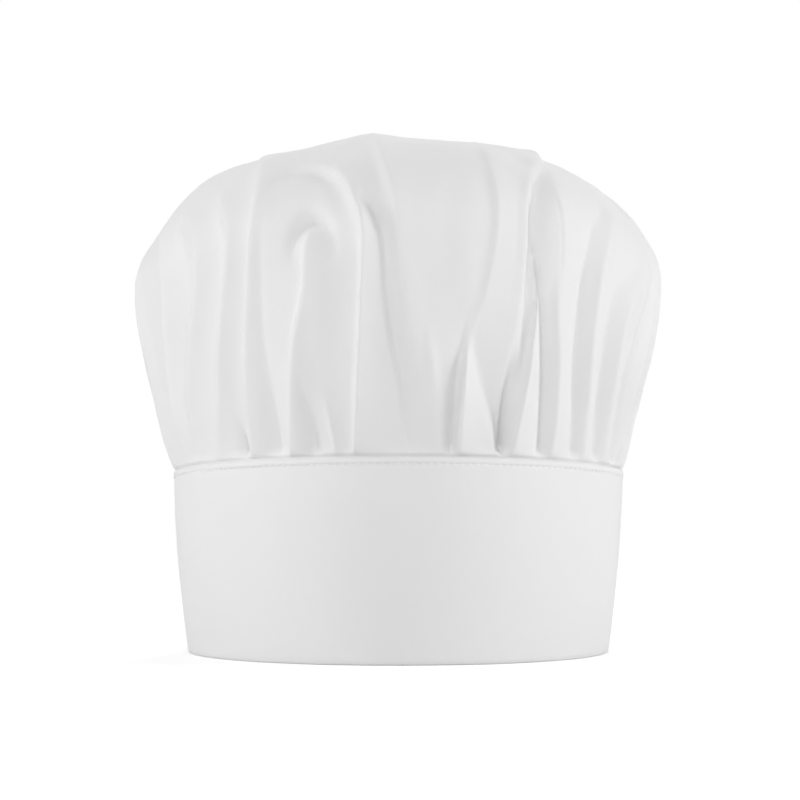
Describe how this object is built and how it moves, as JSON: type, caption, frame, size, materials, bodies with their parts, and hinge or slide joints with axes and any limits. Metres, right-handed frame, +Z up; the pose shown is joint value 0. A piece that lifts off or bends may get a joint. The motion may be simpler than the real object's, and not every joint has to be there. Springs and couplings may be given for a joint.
{
  "type": "chef toque",
  "caption": "Tall chef's hat: a full pleated cloth crown on a stiff folded band that closes at the back with a hook-and-loop tab.",
  "frame": {"origin": "centre of the rim circle, on the plane that the hat stands on", "axes": "+Z up, -Y towards the front of the hat, +Y towards the back with the slit and the tab, +X towards the wearer's left"},
  "size_m": [0.2401, 0.2397, 0.2296],
  "materials": {
    "crown_twill": "matt white poly-cotton twill",
    "band_twill": "matt white poly-cotton twill",
    "interlining": "stiff non-woven",
    "sewing_thread": "spun polyester thread",
    "loop_pile": "soft loop pile",
    "hook_tape": "nylon hook tape",
    "binding_tape": "folded cotton tape",
    "label_satin": "blank woven satin"
  },
  "bodies": {
    "hat": {"crown": "crown_twill", "band_cloth": "band_twill", "band_interlining": "interlining", "seam_topstitch": "sewing_thread", "underlap_stitching": "sewing_thread", "loop_strip": "loop_pile", "loop_strip_stitching": "sewing_thread", "slit_binding": "binding_tape", "slit_binding_stitching": "sewing_thread", "slit_bartack": "sewing_thread", "care_label": "label_satin", "care_label_stitching": "sewing_thread"},
    "closure_tab": {"tab_cloth": "band_twill", "tab_interlining": "interlining", "tab_edge_stitching": "sewing_thread", "hook_strip": "hook_tape", "hook_strip_stitching": "sewing_thread"}
  },
  "joints": [
    {"name": "closure_tab_peel", "type": "hinge", "parent": "hat", "child": "closure_tab", "pos_m": [0.0039, 0.10143, 0.0395], "axis": [0, 0, -1], "range_deg": [0, 100]}
  ]
}
